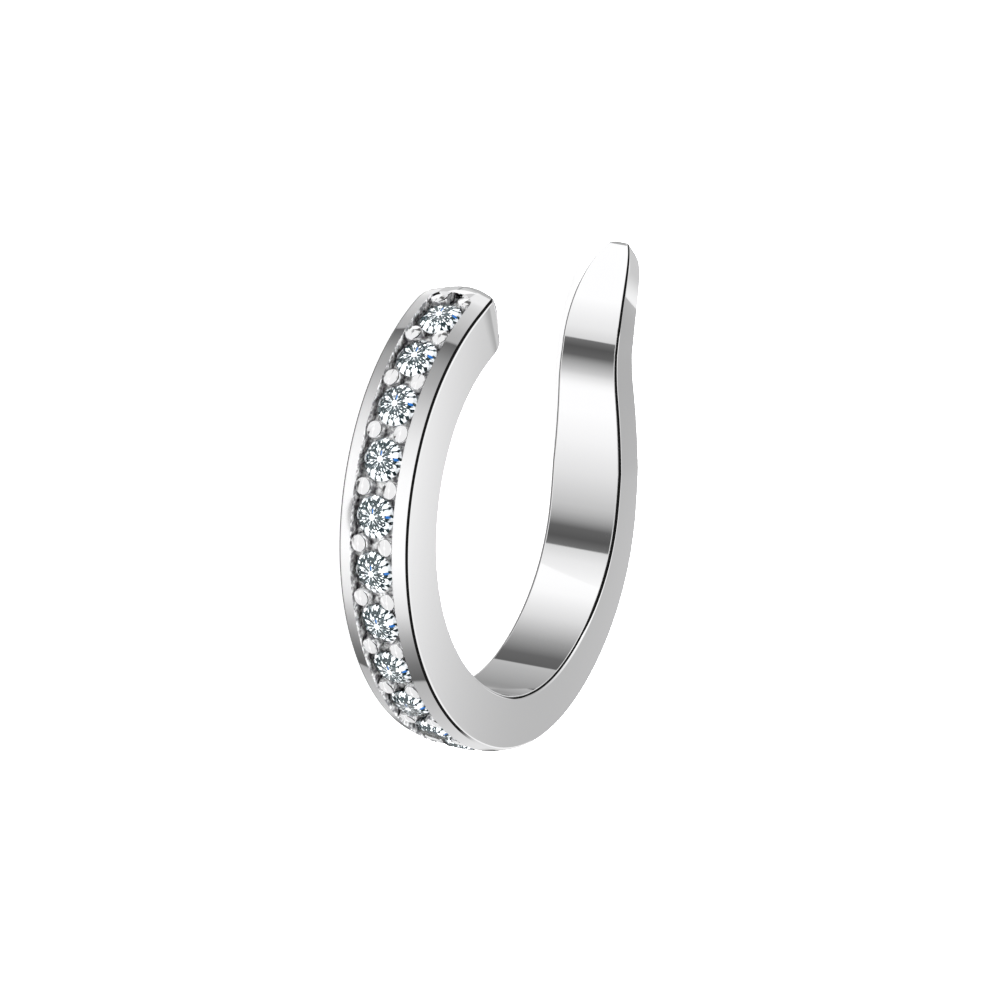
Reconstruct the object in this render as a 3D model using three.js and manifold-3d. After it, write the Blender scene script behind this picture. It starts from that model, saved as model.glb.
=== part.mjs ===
// Ear cuff: an open hoop of polished silver that clips on the ear with no piercing.
// One cast band runs from a blunt round nose, down the stone-set front leg, round the
// bottom and up the plain back leg to a thin flared tongue. A channel in the front leg
// holds a row of round brilliants, and each pair of stones shares a pair of bead prongs.
//
// The cuff lies on its side: the hoop's plane is level, +Z is up. The stones face -Y and
// the mouth of the hoop opens towards -X. Millimetres.

import * as THREE from 'three';
import { mergeVertices } from 'three/addons/utils/BufferGeometryUtils.js';
import { ConvexGeometry } from 'three/addons/geometries/ConvexGeometry.js';
import Module from 'manifold-3d';

// ---------------------------------------------------------------- driving dimensions

// The band's centre line, from the nose to the tip of the tongue. A positive sweep turns
// towards the ear, a negative one away from it.
const CENTRE_LINE = [
  { stretch: 'front curl',  radius: 4.85, sweep: 51.7 },
  { stretch: 'front leg',   radius: 5.85, sweep: 96 },
  { stretch: 'bottom bend', radius: 4.0,  sweep: 51.5 },
  { stretch: 'back leg',    radius: 5.2,  sweep: 54 },
  { stretch: 'neck',        radius: 14.6, sweep: 12.3 },
  { stretch: 'flare',       radius: 4.0,  sweep: -53.5 },
];
const START_HEADING = 277.3;    // degrees in the XY plane, leaving the nose

// Thickness of the band along its centre line, at the start of each named stretch.
const THICKNESS_AT = [
  { stretch: 'front curl',  thickness: 1.6 },
  { stretch: 'bottom bend', thickness: 1.6 },
  { stretch: 'neck',        thickness: 1.03 },
  { stretch: 'tip',         thickness: 0.78 },
];
const BAND_WIDTH = 2.05;
const DOME_DROP = 0.2;          // how much lower the crown is at the band's two edges
const FLANK_AT = 0.62;          // beyond this, to either side, the outside is a flat flank
const FLANK_SLOPE = 15.75;      // degrees
const DOME_STEPS = 6;           // straight pieces across the dome between the flanks,
const SIDE_STEPS = 3;           // down each side
const INSIDE_STEPS = 4;         // and across the flat inside

const NOSE_THICK_LENGTH = 1.1;  // over this length the nose rounds off, seen from the side
const NOSE_WIDTH_LENGTH = 1.3;  // and over this one, seen from the front
const NOSE_WIDTH_POWER = 2.3;   // a little squarer than an ellipse
const NOSE_SOFT_LENGTH = 0.75;  // over this length its sharp edges melt into an oval
const NOSE_STEPS = 8;

const TONGUE_TAPER_LENGTH = 3.0;
const TONGUE_WIDTH = 1.66;      // where the taper ends and the round tip starts
const TONGUE_ROUND_LENGTH = 2.8;
const TONGUE_THIN_LENGTH = 0.6; // over this length the tip thins to an edge
const TONGUE_STEPS = 12;

const STONE_DIAMETER = 1.08;
const STONE_COUNT = 11;
const STONES_IN_CURL = 3;       // these sit a little closer, round the tight curl
const PITCH_IN_CURL = 1.34;
const PITCH_IN_LEG = 1.43;
const FIRST_STONE_AT = 1.61;    // along the centre line, from the nose

const TABLE_SHARE = 0.58;       // the table's size, as a share of the stone's
const LOWER_HALF_SHARE = 0.25;  // where the lower halves end, as a share of the radius
const FACETS_ROUND = 8;

// Depths below the crown of the band.
const TABLE_DEPTH = 0.07;
const GIRDLE_DEPTH = 0.23;
const GIRDLE_THICKNESS = 0.03;
const PAVILION_HEIGHT = 0.46;
const CHANNEL_DEPTH = 0.4;

const CHANNEL_WIDTH = 1.24;
const CHANNEL_START = 0.91;     // along the centre line, from the nose
const CHANNEL_END = 15.31;
const CHANNEL_CORNER = 0.3;
const CORNER_STEPS = 4;
const SEAT_CLEARANCE = 0.04;    // between a stone's cone and the seat drilled for it
const SEAT_SIDES = 16;

const BEAD_RADIUS = 0.21;
const BEAD_OFFSET = 0.39;       // from the middle of the channel
const BEAD_TOP_DEPTH = 0.09;
const BEAD_SHOULDER_DEPTH = 0.15;
const BEAD_SHOULDER_SHARE = 0.68;
const BEAD_SIDES = 12;
const BEAD_FOOT_DEPTH = 0.5;    // deeper than the channel, so that bead and band are one

const STATION_STEP = 0.55;      // spacing of the sections along the band
const FIRST_STEP_ANGLE = 5;     // degrees round a rounded end, to its first section
const WELD_DISTANCE = 1e-5;     // points closer than this are one

// ---------------------------------------------------------------- finishes

const silver = new THREE.MeshStandardMaterial({
  name: 'polished_silver', color: 0xe9e9eb, metalness: 1.0, roughness: 0.08,
});
const brilliant = new THREE.MeshStandardMaterial({
  name: 'clear_stone', color: 0xf4f7fb, metalness: 0.0, roughness: 0.02,
});

// ---------------------------------------------------------------- the centre line

// Where each stretch starts: its place along the line, its point and its heading.
const stretches = [];
let alongSoFar = 0;
let headingSoFar = THREE.MathUtils.degToRad(START_HEADING);
const cursor = new THREE.Vector2(0, 0);
for (const { stretch, radius, sweep } of CENTRE_LINE) {
  const turn = THREE.MathUtils.degToRad(sweep);
  const curvature = Math.sign(sweep) / radius;
  const length = Math.abs(turn) * radius;
  stretches.push({
    stretch,
    curvature,
    start: alongSoFar,
    end: alongSoFar + length,
    heading: headingSoFar,
    from: cursor.clone(),
  });
  cursor.x += (Math.sin(headingSoFar + turn) - Math.sin(headingSoFar)) / curvature;
  cursor.y -= (Math.cos(headingSoFar + turn) - Math.cos(headingSoFar)) / curvature;
  headingSoFar += turn;
  alongSoFar += length;
}
const BAND_LENGTH = alongSoFar;

// The moving frame at one place: its point, its heading and the direction away from the ear.
function frameAt(along) {
  const last = stretches[stretches.length - 1];
  const { curvature, start, heading, from } = stretches.find((one) => along <= one.end) ?? last;
  const turned = heading + (along - start) * curvature;
  return {
    x: from.x + (Math.sin(turned) - Math.sin(heading)) / curvature,
    y: from.y - (Math.cos(turned) - Math.cos(heading)) / curvature,
    ahead: new THREE.Vector3(Math.cos(turned), Math.sin(turned), 0),
    outward: new THREE.Vector3(Math.sin(turned), -Math.cos(turned), 0),
    curvature,
  };
}

// A point of the band: along it, across its width and out from its centre line.
function bandPoint(along, across, out) {
  const { x, y, outward } = frameAt(along);
  return new THREE.Vector3(x + outward.x * out, y + outward.y * out, BAND_WIDTH / 2 + across);
}

// ---------------------------------------------------------------- the band's section

// How full a rounded end is: 0 at its very end, 1 where the rounding stops.
function fullness(fromEnd, length, power) {
  const left = 1 - Math.min(fromEnd / length, 1);
  return (1 - left ** power) ** (1 / power);
}

const thicknessStops = THICKNESS_AT.map(({ stretch, thickness }) => ({
  along: stretch === 'tip' ? BAND_LENGTH : stretches.find((one) => one.stretch === stretch).start,
  thickness,
}));

function thicknessAt(along) {
  const next = Math.max(1, thicknessStops.findIndex((stop) => along <= stop.along));
  const [low, high] = [thicknessStops[next - 1], thicknessStops[next]];
  const share = (along - low.along) / (high.along - low.along);
  const plain = THREE.MathUtils.lerp(low.thickness, high.thickness, share);
  const nose = fullness(along, NOSE_THICK_LENGTH, 2);
  const tip = fullness(BAND_LENGTH - along, TONGUE_THIN_LENGTH, 2);
  return plain * nose * tip;
}

function halfWidthAt(along) {
  const fromTip = BAND_LENGTH - along;
  const taper = THREE.MathUtils.clamp((fromTip - TONGUE_ROUND_LENGTH) / TONGUE_TAPER_LENGTH, 0, 1);
  const plain = THREE.MathUtils.lerp(TONGUE_WIDTH, BAND_WIDTH, taper) / 2;
  const nose = fullness(along, NOSE_WIDTH_LENGTH, NOSE_WIDTH_POWER);
  const tip = fullness(fromTip, TONGUE_ROUND_LENGTH, 2);
  return plain * nose * tip;
}

// The section's corners as shares of half the width and half the thickness: flat inside,
// straight sides, and outside two flat flanks with an arc between them.
const CROWN = THICKNESS_AT[0].thickness / 2;
const EDGE_RISE = 1 - DOME_DROP / CROWN;
const FLANK_TILT = THREE.MathUtils.degToRad(FLANK_SLOPE);
const DOME_RADIUS = FLANK_AT / Math.sin(FLANK_TILT);

function sectionCorners() {
  const corners = [];
  for (let step = 0; step < INSIDE_STEPS; step += 1) {
    corners.push([-1 + (2 * step) / INSIDE_STEPS, -1]);
  }
  for (let step = 0; step < SIDE_STEPS; step += 1) {
    corners.push([1, THREE.MathUtils.lerp(-1, EDGE_RISE, step / SIDE_STEPS)]);
  }
  corners.push([1, EDGE_RISE]);
  for (let step = 0; step <= DOME_STEPS; step += 1) {
    const lean = FLANK_TILT * (1 - (2 * step) / DOME_STEPS);
    const across = DOME_RADIUS * Math.sin(lean);
    const drop = DOME_RADIUS * (1 - Math.cos(lean));
    corners.push([across / (BAND_WIDTH / 2), 1 - drop / CROWN]);
  }
  for (let step = 0; step < SIDE_STEPS; step += 1) {
    corners.push([-1, THREE.MathUtils.lerp(EDGE_RISE, -1, step / SIDE_STEPS)]);
  }
  return corners;
}
const bandCorners = sectionCorners();

function bandSection(along) {
  const half = halfWidthAt(along);
  const rise = thicknessAt(along) / 2;
  const softness = 1 - THREE.MathUtils.smoothstep(along, 0, NOSE_SOFT_LENGTH);
  return bandCorners.map(([side, height]) => {
    const toOval = 1 / Math.hypot(side, height);
    const scale = THREE.MathUtils.lerp(1, toOval, softness);
    return [side * scale * half, height * scale * rise];
  });
}

// ---------------------------------------------------------------- lofting and cutting

// A closed solid through one section per station, with a flat cap at each end.
function loft(stations, sectionAt) {
  const rings = stations.map((along) => {
    const section = sectionAt(along);
    return section.map(([across, out]) => bandPoint(along, across, out));
  });
  const count = rings[0].length;
  const index = [];
  for (let ring = 0; ring + 1 < rings.length; ring += 1) {
    for (let corner = 0; corner < count; corner += 1) {
      const here = ring * count + corner;
      const beside = ring * count + ((corner + 1) % count);
      index.push(here, beside, beside + count, here, beside + count, here + count);
    }
  }
  const lastRing = (rings.length - 1) * count;
  for (let corner = 1; corner + 1 < count; corner += 1) {
    index.push(0, corner + 1, corner);
    index.push(lastRing, lastRing + corner, lastRing + corner + 1);
  }
  const geometry = new THREE.BufferGeometry().setFromPoints(rings.flat());
  geometry.setIndex(index);
  return geometry;
}

// Evenly spaced places between two ends.
function evenly(from, to, step) {
  const parts = Math.max(1, Math.round((to - from) / step));
  return Array.from({ length: parts + 1 }, (_, i) => THREE.MathUtils.lerp(from, to, i / parts));
}

// Places from a rounded end inwards, closer together where the rounding is tightest.
function roundedEnd(length, parts) {
  const angles = evenly(FIRST_STEP_ANGLE, 90, (90 - FIRST_STEP_ANGLE) / parts);
  return angles.map((angle) => length * (1 - Math.cos(THREE.MathUtils.degToRad(angle))));
}

const wasm = await Module();
wasm.setup();

function toSolid(geometry) {
  const bare = geometry.clone();
  bare.deleteAttribute('normal');
  bare.deleteAttribute('uv');
  const merged = mergeVertices(bare, WELD_DISTANCE);
  return new wasm.Manifold(new wasm.Mesh({
    numProp: 3,
    vertProperties: new Float32Array(merged.attributes.position.array),
    triVerts: new Uint32Array(merged.index.array),
  }));
}

function toGeometry(solid) {
  const { vertProperties, triVerts, numProp } = solid.getMesh();
  const geometry = new THREE.BufferGeometry();
  const position = new Float32Array((vertProperties.length / numProp) * 3);
  for (let i = 0; i < position.length; i += 1) {
    position[i] = vertProperties[Math.floor(i / 3) * numProp + (i % 3)];
  }
  geometry.setAttribute('position', new THREE.BufferAttribute(position, 3));
  geometry.setIndex(new THREE.BufferAttribute(new Uint32Array(triVerts), 1));
  geometry.computeVertexNormals();
  return geometry;
}

// Turns a shape made round its own Y axis so that Y points away from the ear, and moves it
// to a place on the band, out from the centre line.
function placement(along, across, out) {
  const { ahead, outward } = frameAt(along);
  const widthways = new THREE.Vector3().crossVectors(ahead, outward);
  const turn = new THREE.Matrix4().makeBasis(ahead, outward, widthways);
  return turn.setPosition(bandPoint(along, across, out));
}

// ---------------------------------------------------------------- where the stones sit

// Places along the centre line, for a pitch measured out at the stones' girdles.
const stonePlaces = [FIRST_STONE_AT];
while (stonePlaces.length < STONE_COUNT) {
  const here = stonePlaces[stonePlaces.length - 1];
  const pitch = stonePlaces.length < STONES_IN_CURL ? PITCH_IN_CURL : PITCH_IN_LEG;
  const spread = 1 + (CROWN - GIRDLE_DEPTH) * frameAt(here).curvature;
  stonePlaces.push(here + pitch / spread);
}

// A pair of beads stands halfway between two stones, and one at each end of the row.
const beadPlaces = stonePlaces.slice(1).map((place, i) => (place + stonePlaces[i]) / 2);
const endSpace = (stonePlaces[1] - stonePlaces[0]) / 2;
beadPlaces.unshift(stonePlaces[0] - endSpace);
beadPlaces.push(stonePlaces[STONE_COUNT - 1] + endSpace);

// ---------------------------------------------------------------- the pieces

function makeBand() {
  const tongueStart = BAND_LENGTH - TONGUE_ROUND_LENGTH;
  const bandStations = [
    ...roundedEnd(NOSE_THICK_LENGTH, NOSE_STEPS),
    ...evenly(NOSE_THICK_LENGTH, tongueStart, STATION_STEP).slice(1, -1),
    ...roundedEnd(TONGUE_ROUND_LENGTH, TONGUE_STEPS).map((inset) => BAND_LENGTH - inset).reverse(),
  ];
  let solid = toSolid(loft(bandStations, bandSection));

  // the channel, with its four corners rounded
  const corner = roundedEnd(CHANNEL_CORNER, CORNER_STEPS);
  const straight = evenly(CHANNEL_START + CHANNEL_CORNER, CHANNEL_END - CHANNEL_CORNER, STATION_STEP);
  const channelStations = [
    ...corner.map((inset) => CHANNEL_START + inset),
    ...straight.slice(1, -1),
    ...corner.map((inset) => CHANNEL_END - inset).reverse(),
  ];
  solid = solid.subtract(toSolid(loft(channelStations, channelSection)));

  for (const along of stonePlaces) {
    solid = solid.subtract(toSolid(seatCutter().applyMatrix4(placement(along, 0, CROWN))));
  }
  for (const along of beadPlaces) {
    for (const side of [-1, 1]) {
      solid = solid.add(toSolid(bead().applyMatrix4(placement(along, side * BEAD_OFFSET, CROWN))));
    }
  }
  return toGeometry(solid);
}

function channelSection(along) {
  const fromEnd = Math.min(along - CHANNEL_START, CHANNEL_END - along);
  const half = CHANNEL_WIDTH / 2 - CHANNEL_CORNER * (1 - fullness(fromEnd, CHANNEL_CORNER, 2));
  const floor = CROWN - CHANNEL_DEPTH;
  const above = CROWN + CHANNEL_DEPTH;
  return [[-half, floor], [half, floor], [half, above], [-half, above]];
}

// The cone drilled under a stone, its mouth inside the channel. Y = 0 is the crown.
function seatCutter() {
  const slope = STONE_DIAMETER / 2 / PAVILION_HEIGHT;
  const mouthDepth = GIRDLE_DEPTH + GIRDLE_THICKNESS + SEAT_CLEARANCE;
  const pointDepth = GIRDLE_DEPTH + GIRDLE_THICKNESS + PAVILION_HEIGHT + SEAT_CLEARANCE;
  const height = pointDepth - mouthDepth;
  const cone = new THREE.ConeGeometry(height * slope, height, SEAT_SIDES);
  cone.rotateX(Math.PI);
  return cone.translate(0, -mouthDepth - height / 2, 0);
}

// A bead prong: a post from under the channel's floor with a low rounded top.
function bead() {
  const shoulder = THREE.MathUtils.lerp(BEAD_SHOULDER_DEPTH, BEAD_TOP_DEPTH, BEAD_SHOULDER_SHARE);
  const outline = [
    new THREE.Vector2(0, -BEAD_FOOT_DEPTH),
    new THREE.Vector2(BEAD_RADIUS, -BEAD_FOOT_DEPTH),
    new THREE.Vector2(BEAD_RADIUS, -BEAD_SHOULDER_DEPTH),
    new THREE.Vector2(BEAD_RADIUS * BEAD_SHOULDER_SHARE, -shoulder),
    new THREE.Vector2(0, -BEAD_TOP_DEPTH),
  ];
  return new THREE.LatheGeometry(outline, BEAD_SIDES);
}

// Points evenly round the Y axis at one height.
function ringOfPoints(count, radius, height, firstAngle) {
  return Array.from({ length: count }, (_, i) => {
    const angle = firstAngle + (i * 2 * Math.PI) / count;
    return new THREE.Vector3(radius * Math.cos(angle), height, radius * Math.sin(angle));
  });
}

// A round brilliant: an eight-sided table, stars, kites and upper halves above the girdle,
// mains and lower halves below it. Its axis is Y, and Y = 0 is the crown of the band.
function makeStone() {
  const radius = STONE_DIAMETER / 2;
  const tableRadius = TABLE_SHARE * radius;
  const crownHeight = GIRDLE_DEPTH - TABLE_DEPTH;
  const girdleTop = -GIRDLE_DEPTH;
  const girdleBottom = girdleTop - GIRDLE_THICKNESS;

  // the stars' and lower halves' points lie on the planes of the main facets
  const halfStep = Math.PI / FACETS_ROUND;
  const starRadius = (tableRadius * Math.cos(halfStep) + radius) / 2;
  const starShare = (radius - starRadius * Math.cos(halfStep)) / (radius - tableRadius);
  const lowerRadius = LOWER_HALF_SHARE * radius;
  const lowerShare = 1 - LOWER_HALF_SHARE * Math.cos(halfStep);

  return new ConvexGeometry([
    ...ringOfPoints(FACETS_ROUND, tableRadius, -TABLE_DEPTH, 0),
    ...ringOfPoints(FACETS_ROUND, starRadius, girdleTop + crownHeight * starShare, halfStep),
    ...ringOfPoints(2 * FACETS_ROUND, radius, girdleTop, 0),
    ...ringOfPoints(2 * FACETS_ROUND, radius, girdleBottom, 0),
    ...ringOfPoints(FACETS_ROUND, lowerRadius, girdleBottom - PAVILION_HEIGHT * lowerShare, halfStep),
    new THREE.Vector3(0, girdleBottom - PAVILION_HEIGHT, 0),
  ]);
}

// ---------------------------------------------------------------- the assembly

const cuff = new THREE.Group();

const band = new THREE.Mesh(makeBand(), silver);
band.name = 'cuff_band';
cuff.add(band);

stonePlaces.forEach((along, i) => {
  const stone = new THREE.Mesh(makeStone(), brilliant);
  stone.name = `stone_${String(i + 1).padStart(2, '0')}`;
  stone.applyMatrix4(placement(along, 0, CROWN));
  cuff.add(stone);
});

// The origin is the middle of the cuff's outline, on the surface that it lies on.
const box = new THREE.Box3().setFromObject(cuff);
const middle = box.getCenter(new THREE.Vector3());
cuff.position.set(-middle.x, -middle.y, -box.min.z);

const group = new THREE.Group();
group.add(cuff);

export default group;
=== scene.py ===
# %% [markdown]
# # An ear cuff of polished silver with a row of brilliants
# The cuff is one bent band. It starts at a blunt nose, runs down the stone-set front leg, round
# the bottom and up the plain back leg to a thin flared tongue. It clips on an ear by its spring.
# This lesson makes the band as a jeweller does: a straight bar is shaped first, the channel is
# milled and the seats are drilled, and only then is it bent. The stones are cut facet by facet.

import math

import bmesh
import bpy
from mathutils import Matrix, Vector


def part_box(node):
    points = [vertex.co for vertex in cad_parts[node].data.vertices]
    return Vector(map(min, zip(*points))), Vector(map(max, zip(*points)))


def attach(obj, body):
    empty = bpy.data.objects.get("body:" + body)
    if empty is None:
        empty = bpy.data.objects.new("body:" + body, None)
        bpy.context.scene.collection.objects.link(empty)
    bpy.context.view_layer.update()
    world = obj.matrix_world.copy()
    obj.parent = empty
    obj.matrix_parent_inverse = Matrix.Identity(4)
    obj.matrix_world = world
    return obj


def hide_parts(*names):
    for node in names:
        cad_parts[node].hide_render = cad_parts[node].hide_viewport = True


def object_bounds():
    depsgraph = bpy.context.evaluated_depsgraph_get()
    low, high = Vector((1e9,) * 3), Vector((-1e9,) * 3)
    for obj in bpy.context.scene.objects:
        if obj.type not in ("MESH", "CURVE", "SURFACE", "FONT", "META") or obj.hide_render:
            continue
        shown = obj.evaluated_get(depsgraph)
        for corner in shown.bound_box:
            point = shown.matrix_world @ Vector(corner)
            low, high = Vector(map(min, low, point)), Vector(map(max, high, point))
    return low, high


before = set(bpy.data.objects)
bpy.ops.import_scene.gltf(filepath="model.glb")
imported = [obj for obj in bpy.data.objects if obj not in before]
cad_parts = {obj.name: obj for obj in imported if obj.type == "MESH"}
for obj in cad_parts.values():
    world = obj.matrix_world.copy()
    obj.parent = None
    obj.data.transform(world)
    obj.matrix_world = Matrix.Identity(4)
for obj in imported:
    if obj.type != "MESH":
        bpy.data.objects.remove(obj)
cad_bounds = [list(corner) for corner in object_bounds()]
MM = 0.001
print("the cuff's box in mm:", [[round(v / MM, 2) for v in corner] for corner in cad_bounds])

# %% [markdown]
# ## Small helpers
# An operator acts on whatever is selected, and the loaded nodes come in selected. So each step
# first selects exactly what it works on. Inside edit mode, points and faces are picked by place.

# %% Helpers for selecting
def select_only(*objects):
    bpy.ops.object.select_all(action="DESELECT")
    for one in objects:
        one.select_set(True)
    bpy.context.view_layer.objects.active = objects[0]


def pick(kind, test):
    """Selects the vertices, edges or faces that pass the test, in edit mode."""
    mode = {"verts": "VERT", "edges": "EDGE", "faces": "FACE"}[kind]
    bpy.ops.mesh.select_mode(type=mode)
    bpy.ops.mesh.select_all(action="DESELECT")
    mesh = bmesh.from_edit_mesh(bpy.context.object.data)
    chosen = [one for one in getattr(mesh, kind) if test(one)]
    for one in chosen:
        one.select_set(True)
    mesh.select_flush_mode()
    bmesh.update_edit_mesh(bpy.context.object.data)
    return len(chosen)


def selected_box():
    mesh = bmesh.from_edit_mesh(bpy.context.object.data)
    points = [v.co for v in mesh.verts if v.select]
    low = Vector([min(p[i] for p in points) for i in range(3)])
    high = Vector([max(p[i] for p in points) for i in range(3)])
    return low, high


def apply_modifier(piece, kind, **settings):
    select_only(piece)
    modifier = piece.modifiers.new(kind.lower(), kind)
    for name, value in settings.items():
        setattr(modifier, name, value)
    bpy.ops.object.modifier_apply(modifier=modifier.name)


# %% [markdown]
# ## The camera
# The camera is far away behind a very long lens, so the picture has almost no perspective. It
# looks down at the lying cuff at about 31 degrees, with the nose at the top of the picture.

# %% Camera
VIEW_TURN = math.radians(57.45)
VIEW_TILT = math.radians(17.58)
VIEW_ROLL = math.radians(0.51)
FIELD_WIDTH = 24.99 * MM
LENS = 1000.0
SENSOR = 36.0
NEAREST_SEEN, FARTHEST_SEEN = 0.01, 20
AIM_RIGHT = -0.039 * MM
AIM_UP = 0.139 * MM
HALF_WIDTH = (cad_bounds[1][2] - cad_bounds[0][2]) / 2

to_camera = Vector((-math.sin(VIEW_TILT), -math.sin(VIEW_TURN) * math.cos(VIEW_TILT),
                    math.cos(VIEW_TURN) * math.cos(VIEW_TILT)))
level_right = Vector((0, math.cos(VIEW_TURN), math.sin(VIEW_TURN)))
level_up = to_camera.cross(level_right)
picture_right = level_right * math.cos(VIEW_ROLL) - level_up * math.sin(VIEW_ROLL)
picture_up = level_up * math.cos(VIEW_ROLL) + level_right * math.sin(VIEW_ROLL)
aim = Vector((0, 0, HALF_WIDTH)) + picture_right * AIM_RIGHT + picture_up * AIM_UP

bpy.ops.object.camera_add(location=aim + to_camera * FIELD_WIDTH * LENS / SENSOR)
camera = bpy.context.object
turn = Matrix((picture_right, picture_up, to_camera)).transposed()
camera.rotation_euler = turn.to_euler()
camera.data.lens = LENS
camera.data.sensor_width = SENSOR
camera.data.clip_start = NEAREST_SEEN
camera.data.clip_end = FARTHEST_SEEN
bpy.context.scene.camera = camera
bpy.context.scene.view_settings.view_transform = "Standard"
print("camera distance in m:", round((camera.location - aim).length, 3))

# %% [markdown]
# ## The centre line
# The band's centre line is a chain of arcs. Each arc has a radius and a sweep, and starts where
# the one before it ends, in the same direction. So the line is drawn by spinning one vertex
# round the centre of each bend in turn. A negative sweep bends away from the ear.

# %% Draw the centre line
BENDS = [
    # bend, radius in mm, sweep in degrees
    ("front curl", 4.85, 51.7),
    ("front leg", 5.85, 96.0),
    ("bottom bend", 4.0, 51.5),
    ("back leg", 5.2, 54.0),
    ("neck", 14.6, 12.3),
    ("flare", 4.0, -53.5),
]
START_HEADING = math.radians(277.3)
DEGREES_A_STEP = 0.75
AT_THE_START = 0.01


class Arc:
    """One bend: where it starts along the band, its first point, heading and curvature."""

    def __init__(self, start, point, heading, radius, sweep):
        self.start, self.point, self.heading = start, point, heading
        self.curvature = math.copysign(1 / radius, sweep)
        self.end = start + radius * abs(math.radians(sweep))
        self.centre = point + Vector((-math.sin(heading), math.cos(heading), 0)) / self.curvature

    def at(self, along):
        heading = self.heading + (along - self.start) * self.curvature
        outward = Vector((math.sin(heading), -math.cos(heading), 0))
        return self.centre + outward / self.curvature, heading


arcs = []
along, point, heading = 0.0, Vector((0, 0, 0)), START_HEADING
for name, radius, sweep in BENDS:
    arc = Arc(along, point, heading, radius, sweep)
    arcs.append(arc)
    along = arc.end
    point, heading = arc.at(along)
BAND_LENGTH = along

bpy.ops.mesh.primitive_plane_add(size=1)
line = bpy.context.object
line.name = "centre_line"
bpy.ops.object.mode_set(mode="EDIT")
bpy.ops.mesh.merge(type="CENTER")
for arc, (name, radius, sweep) in zip(arcs, BENDS):
    bpy.ops.mesh.spin(steps=round(abs(sweep) / DEGREES_A_STEP), angle=-math.radians(sweep),
                      center=arc.centre, axis=(0, 0, 1))
line_end = selected_box()[0]
bpy.ops.object.mode_set(mode="OBJECT")
bpy.ops.object.convert(target="CURVE")
line = bpy.context.object
line.data.dimensions = "2D"
if line.data.splines[0].points[0].co.xyz.length > AT_THE_START:
    bpy.ops.object.mode_set(mode="EDIT")
    bpy.ops.curve.select_all(action="SELECT")
    bpy.ops.curve.switch_direction()
    bpy.ops.object.mode_set(mode="OBJECT")
print("band length in mm:", round(BAND_LENGTH, 2), "and the line ends",
      round((line_end - point).length, 4), "mm from where the sums say")

# %% [markdown]
# ## The bar before it is bent
# The bar lies along X. Its outside, where the stones go, faces -Y, and its width runs along Z.
# Its section is flat inside. Outside it has two flat flanks that slope a little, with an arc
# between them. The arc is drawn by spinning one corner of a plane over to the other, and the
# flanks by extruding its ends.

# %% The bar's section
BAND_WIDTH = 2.05
THICKNESS = 1.6
DOME_DROP = 0.2
FLANK_AT = 0.62
FLANK_SLOPE = math.radians(15.75)
DOME_STEPS = 12
NOSE_LENGTH = 1.3
CLOSE = 1e-4

half_width = BAND_WIDTH / 2
crown = THICKNESS / 2
dome_radius = FLANK_AT / math.sin(FLANK_SLOPE)
flank_top = crown - dome_radius * (1 - math.cos(FLANK_SLOPE))
edge_height = crown - DOME_DROP

bpy.ops.mesh.primitive_plane_add(size=1, rotation=(0, math.pi / 2, 0))
band = bpy.context.object
band.name = "ear_cuff_band"
bpy.ops.object.transform_apply(rotation=True)
bpy.ops.object.mode_set(mode="EDIT")
bpy.ops.transform.resize(value=(1, edge_height + crown, BAND_WIDTH), center_override=(0, 0, 0))
bpy.ops.transform.translate(value=(NOSE_LENGTH, (crown - edge_height) / 2, 0))
bpy.ops.mesh.delete(type="ONLY_FACE")
pick("edges", lambda e: all(abs(v.co.y + edge_height) < CLOSE for v in e.verts))
bpy.ops.mesh.delete(type="EDGE")
pick("verts", lambda v: v.co.y < 0 and v.co.z > 0)
flank_rise, flank_width = flank_top - edge_height, half_width - FLANK_AT
bpy.ops.mesh.extrude_vertices_move(TRANSFORM_OT_translate={"value": (0, -flank_rise, -flank_width)})
bpy.ops.mesh.spin(steps=DOME_STEPS, angle=-2 * FLANK_SLOPE, axis=(1, 0, 0),
                  center=(NOSE_LENGTH, dome_radius - crown, 0))
bpy.ops.mesh.extrude_vertices_move(TRANSFORM_OT_translate={"value": (0, flank_rise, -flank_width)})
bpy.ops.mesh.select_all(action="SELECT")
bpy.ops.mesh.remove_doubles(threshold=CLOSE)
bpy.ops.mesh.edge_face_add()
bpy.ops.object.mode_set(mode="OBJECT")
print("points round the sharp section:", len(band.data.vertices))

# %% [markdown]
# ## Rounding the section's corners
# A polished edge is never quite sharp. Each corner is rounded a little, because those narrow
# rounds catch the thin dark and light lines along the band's edges. Beveling a point of the
# section is enough, since the bar is drawn out from it afterwards. The straight sides are
# subdivided, so that the section can turn into an oval at the nose.

# %% Round corners and cut sides
OUTER_ROUND = 0.075
INNER_ROUND = 0.1
INNER_PROFILE = 0.38
ROUND_STEPS = 6
LONGEST_SIDE = 0.3
SIDE_CUTS = 7

bpy.ops.object.mode_set(mode="EDIT")
pick("verts", lambda v: abs(abs(v.co.z) - half_width) < CLOSE and v.co.y < 0)
bpy.ops.mesh.bevel(affect="VERTICES", offset=OUTER_ROUND, segments=ROUND_STEPS)
pick("verts", lambda v: abs(abs(v.co.z) - half_width) < CLOSE and v.co.y > 0)
bpy.ops.mesh.bevel(affect="VERTICES", offset=INNER_ROUND, segments=ROUND_STEPS,
                   profile=INNER_PROFILE)
bpy.ops.mesh.select_all(action="SELECT")
bpy.ops.mesh.delete(type="ONLY_FACE")
pick("edges", lambda e: e.calc_length() > LONGEST_SIDE)
bpy.ops.mesh.subdivide(number_cuts=SIDE_CUTS)
bpy.ops.mesh.select_all(action="SELECT")
bpy.ops.mesh.edge_face_add()
bpy.ops.object.mode_set(mode="OBJECT")
print("points round the section:", len(band.data.vertices))

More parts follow.
